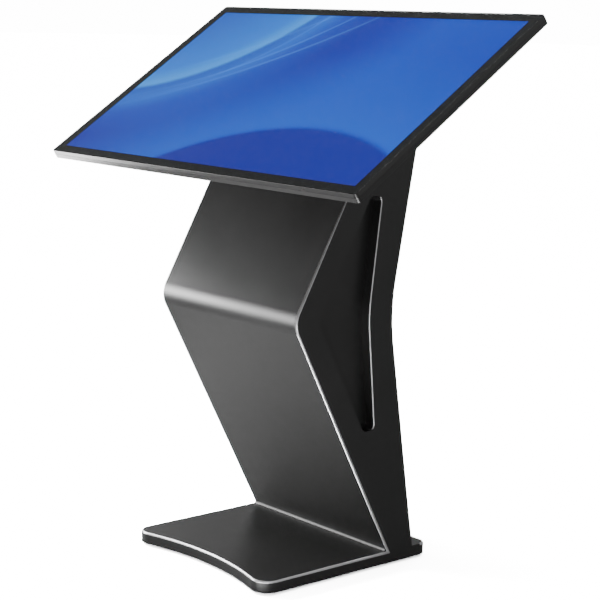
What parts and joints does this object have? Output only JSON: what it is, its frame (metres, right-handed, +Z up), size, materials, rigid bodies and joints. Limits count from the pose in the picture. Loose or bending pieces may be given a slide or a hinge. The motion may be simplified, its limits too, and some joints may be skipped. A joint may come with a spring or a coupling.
{
  "type": "touchscreen kiosk",
  "caption": "Free-standing touch kiosk with a large tilted display on a K-shaped folded metal pedestal, a bowed flat base and a rear service door.",
  "frame": {"origin": "on the floor, in the middle of the kiosk's footprint", "axes": "+Z up, +X to the visitor's right when facing the screen, -Y towards the visitor"},
  "size_m": [0.9912, 0.4988, 1.1579],
  "materials": {
    "powder_coat": "fine-grained black powder coat",
    "frame_steel": "dark grey primer",
    "zinc_steel": "bright zinc plate",
    "black_screws": "black oxide",
    "cover_glass": "polished, printed black round the edge",
    "display_panel": "lit liquid crystal panel",
    "panel_tray": "plain",
    "foam": "closed-cell foam",
    "circuit_board": "solder mask",
    "black_plastic": "fine matt texture",
    "cable_sheath": "smooth",
    "red_plastic": "glossy",
    "lock_chrome": "satin nickel",
    "ir_plastic": "dark infra-red filter",
    "pad_rubber": "matt"
  },
  "bodies": {
    "kiosk": {"base_plate": "frame_steel", "weld_nuts": "zinc_steel", "front_skirt": "powder_coat", "rear_cover": "powder_coat", "side_panel_left": "powder_coat", "side_panel_right": "powder_coat", "front_panel": "powder_coat", "rear_panel": "powder_coat", "rear_panel_screws": "black_screws", "post_left": "frame_steel", "post_right": "frame_steel", "cross_rails": "frame_steel", "head_mount_plate": "frame_steel", "head_bolts": "zinc_steel", "equipment_shelf": "zinc_steel", "media_pc": "black_plastic", "power_supply": "zinc_steel", "video_cable": "cable_sheath", "display_power_lead": "cable_sheath", "power_plate": "black_plastic", "power_plate_screws": "black_screws", "cable_gland": "black_plastic", "rocker_housing": "black_plastic", "fan_frame": "black_plastic", "hinge_frame_leaves": "zinc_steel", "hinge_pins": "zinc_steel", "touch_glass": "cover_glass", "glass_gasket": "foam", "head_frame": "powder_coat", "lcd_panel": "display_panel", "backlight_tray": "panel_tray", "head_brackets": "zinc_steel", "mainboard": "circuit_board", "display_power_board": "circuit_board", "speaker_left": "black_plastic", "speaker_right": "black_plastic", "head_back_cover": "powder_coat", "back_cover_screws": "black_screws", "button_bezel": "lock_chrome", "ir_window": "ir_plastic"},
    "rear_door": {"rear_door": "powder_coat", "hinge_door_leaves": "zinc_steel", "lock_body": "lock_chrome"},
    "lock": {"lock_plug": "lock_chrome"},
    "rocker": {"rocker": "red_plastic"},
    "power_button": {"power_button": "lock_chrome"},
    "fan": {"fan_rotor": "black_plastic"},
    "foot_front_left": {"foot_pad_front_left": "pad_rubber"},
    "stud_front_left": {"foot_stud_front_left": "zinc_steel"},
    "foot_front_right": {"foot_pad_front_right": "pad_rubber"},
    "stud_front_right": {"foot_stud_front_right": "zinc_steel"},
    "foot_rear_left": {"foot_pad_rear_left": "pad_rubber"},
    "stud_rear_left": {"foot_stud_rear_left": "zinc_steel"},
    "foot_rear_right": {"foot_pad_rear_right": "pad_rubber"},
    "stud_rear_right": {"foot_stud_rear_right": "zinc_steel"}
  },
  "joints": [
    {"name": "door_hinge", "type": "hinge", "parent": "kiosk", "child": "rear_door", "pos_m": [-0.16425, 0.16308, 0.28072], "axis": [0, -0.1685, 0.9857], "range_deg": [0, 110]},
    {"name": "lock_turn", "type": "hinge", "parent": "rear_door", "child": "lock", "pos_m": [0.1375, 0.15815, 0.27987], "axis": [0, 0.9857, 0.1685], "range_deg": [0, 90]},
    {"name": "rocker_tip", "type": "hinge", "parent": "kiosk", "child": "rocker", "pos_m": [0.024, 0.1964, 0.06679], "axis": [1, 0, 0], "range_deg": [0, 20]},
    {"name": "button_push", "type": "slide", "parent": "kiosk", "child": "power_button", "axis": [0, -0.5592, 0.829], "range_m": [0, 0.0015], "stiffness_N_per_m": 1000},
    {"name": "fan_spin", "type": "hinge", "parent": "kiosk", "child": "fan", "pos_m": [0, 0.12652, 0.7161], "axis": [0, 0.9857, -0.1685], "continuous": true},
    {"name": "height_front_left", "type": "slide", "parent": "kiosk", "child": "foot_front_left", "axis": [0, 0, 1], "range_m": [-0.006, 0]},
    {"name": "turn_front_left", "type": "hinge", "parent": "foot_front_left", "child": "stud_front_left", "pos_m": [-0.174, -0.13738, 0.005], "axis": [0, 0, 1], "range_deg": [-1440, 0]},
    {"name": "height_front_right", "type": "slide", "parent": "kiosk", "child": "foot_front_right", "axis": [0, 0, 1], "range_m": [-0.006, 0]},
    {"name": "turn_front_right", "type": "hinge", "parent": "foot_front_right", "child": "stud_front_right", "pos_m": [0.174, -0.13738, 0.005], "axis": [0, 0, 1], "range_deg": [-1440, 0]},
    {"name": "height_rear_left", "type": "slide", "parent": "kiosk", "child": "foot_rear_left", "axis": [0, 0, 1], "range_m": [-0.006, 0]},
    {"name": "turn_rear_left", "type": "hinge", "parent": "foot_rear_left", "child": "stud_rear_left", "pos_m": [-0.174, 0.20636, 0.005], "axis": [0, 0, 1], "range_deg": [-1440, 0]},
    {"name": "height_rear_right", "type": "slide", "parent": "kiosk", "child": "foot_rear_right", "axis": [0, 0, 1], "range_m": [-0.006, 0]},
    {"name": "turn_rear_right", "type": "hinge", "parent": "foot_rear_right", "child": "stud_rear_right", "pos_m": [0.174, 0.20636, 0.005], "axis": [0, 0, 1], "range_deg": [-1440, 0]}
  ],
  "couplings": [
    {"joint": "turn_front_left", "follows": "height_front_left", "rad_per_m": 4188.8},
    {"joint": "turn_front_right", "follows": "height_front_right", "rad_per_m": 4188.8},
    {"joint": "turn_rear_left", "follows": "height_rear_left", "rad_per_m": 4188.8},
    {"joint": "turn_rear_right", "follows": "height_rear_right", "rad_per_m": 4188.8}
  ]
}
